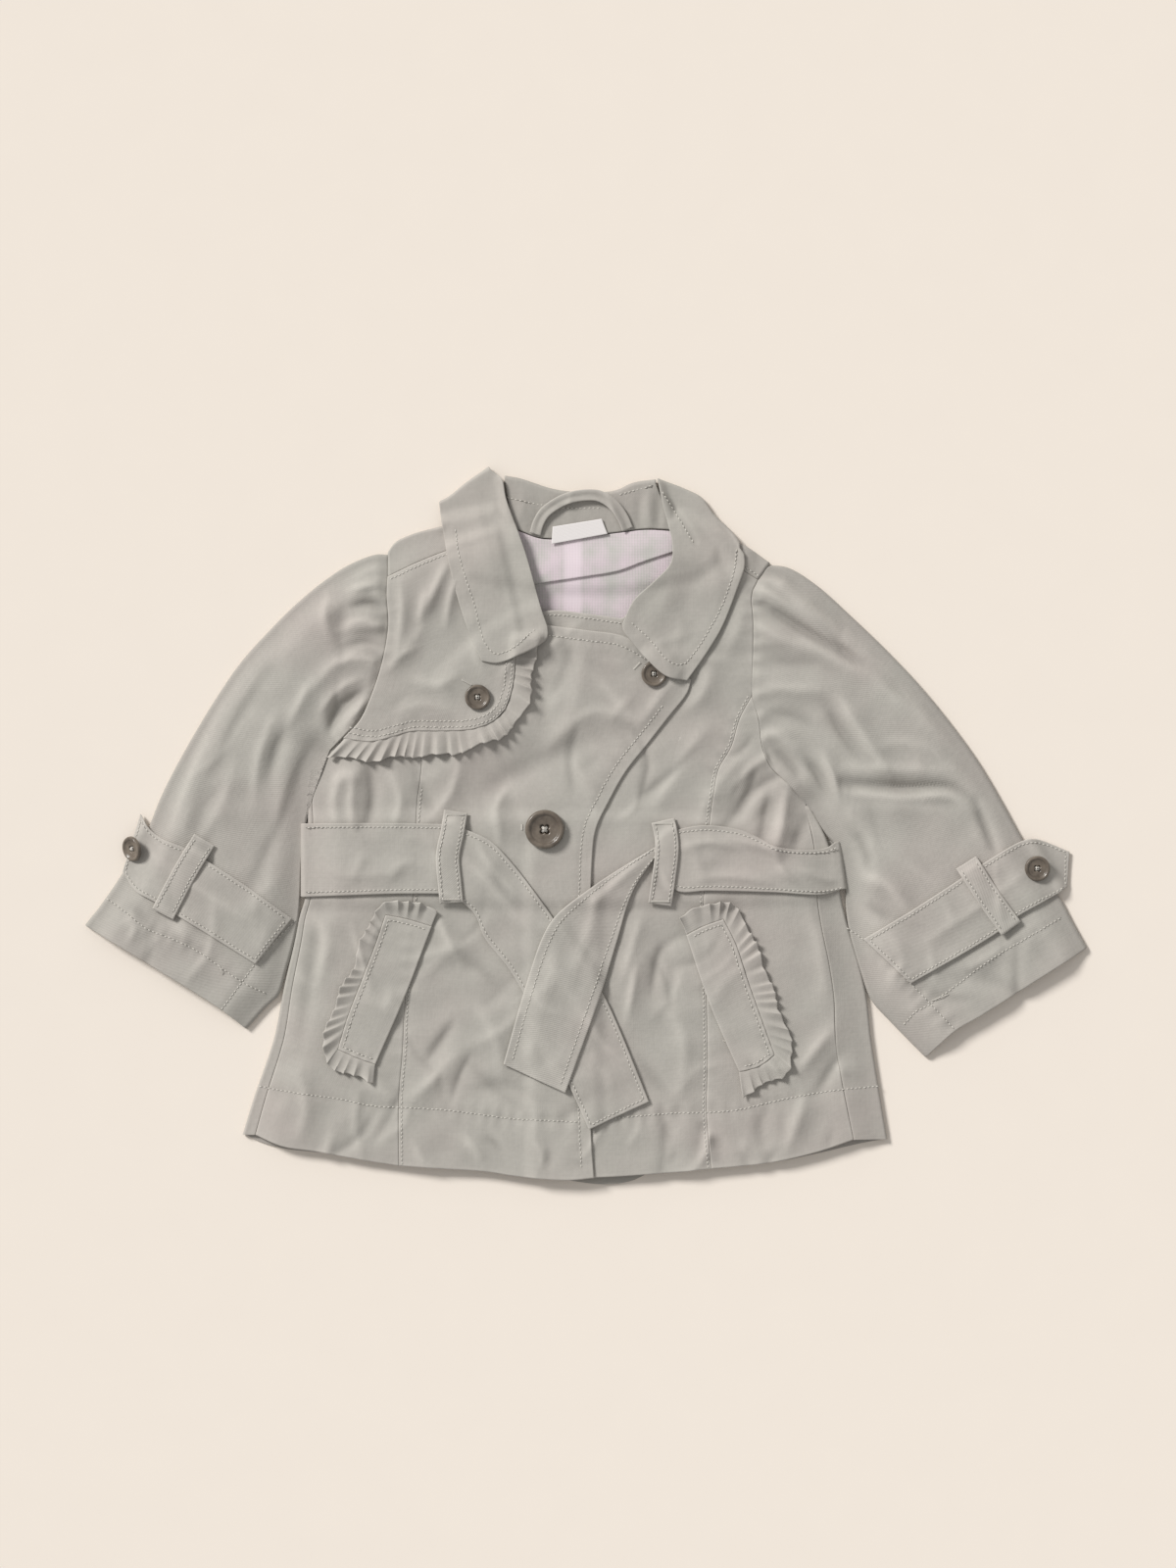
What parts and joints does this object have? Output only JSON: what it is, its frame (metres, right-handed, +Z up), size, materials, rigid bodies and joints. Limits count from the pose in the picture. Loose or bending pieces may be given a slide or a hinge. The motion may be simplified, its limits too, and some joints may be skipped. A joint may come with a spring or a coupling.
{
  "type": "child trench coat",
  "caption": "Small child's cropped double-breasted trench coat in sage-grey twill, with a tied belt, gathered trims and a checked lining, laid flat on its back.",
  "frame": {"origin": "centre of the coat's footprint on the surface that it lies on", "axes": "+X towards the coat's left sleeve, +Y from the hem to the collar, +Z up out of the front"},
  "size_m": [0.5314, 0.3807, 0.0132],
  "materials": {
    "coat_cloth": "matt cotton twill",
    "lining": "plain woven check",
    "label": "woven tape, bare",
    "buttons": "glossy"
  },
  "bodies": {
    "root": {"front_left": "coat_cloth", "front_right": "coat_cloth", "front_right_side": "coat_cloth", "front_left_side": "coat_cloth", "back": "coat_cloth", "collar_back": "coat_cloth", "storm_flap": "coat_cloth", "storm_flap_ruffle": "coat_cloth", "pocket_welt_right": "coat_cloth", "pocket_ruffle_right": "coat_cloth", "pocket_welt_left": "coat_cloth", "pocket_ruffle_left": "coat_cloth", "collar_leaf_right": "coat_cloth", "collar_leaf_left": "coat_cloth", "belt_waist": "coat_cloth", "belt_tail_right": "coat_cloth", "belt_tail_left": "coat_cloth", "belt_loop_right": "coat_cloth", "belt_loop_left": "coat_cloth", "sleeve_right": "coat_cloth", "cuff_strap_right": "coat_cloth", "cuff_keeper_right": "coat_cloth", "sleeve_left": "coat_cloth", "cuff_strap_left": "coat_cloth", "cuff_keeper_left": "coat_cloth", "hanger_loop": "coat_cloth", "lining_lower": "lining", "lining_upper": "lining", "neck_label": "label", "button_waist": "buttons", "button_chest": "buttons", "button_flap": "buttons", "button_cuff_right": "buttons", "button_cuff_left": "buttons"}
  },
  "joints": []
}
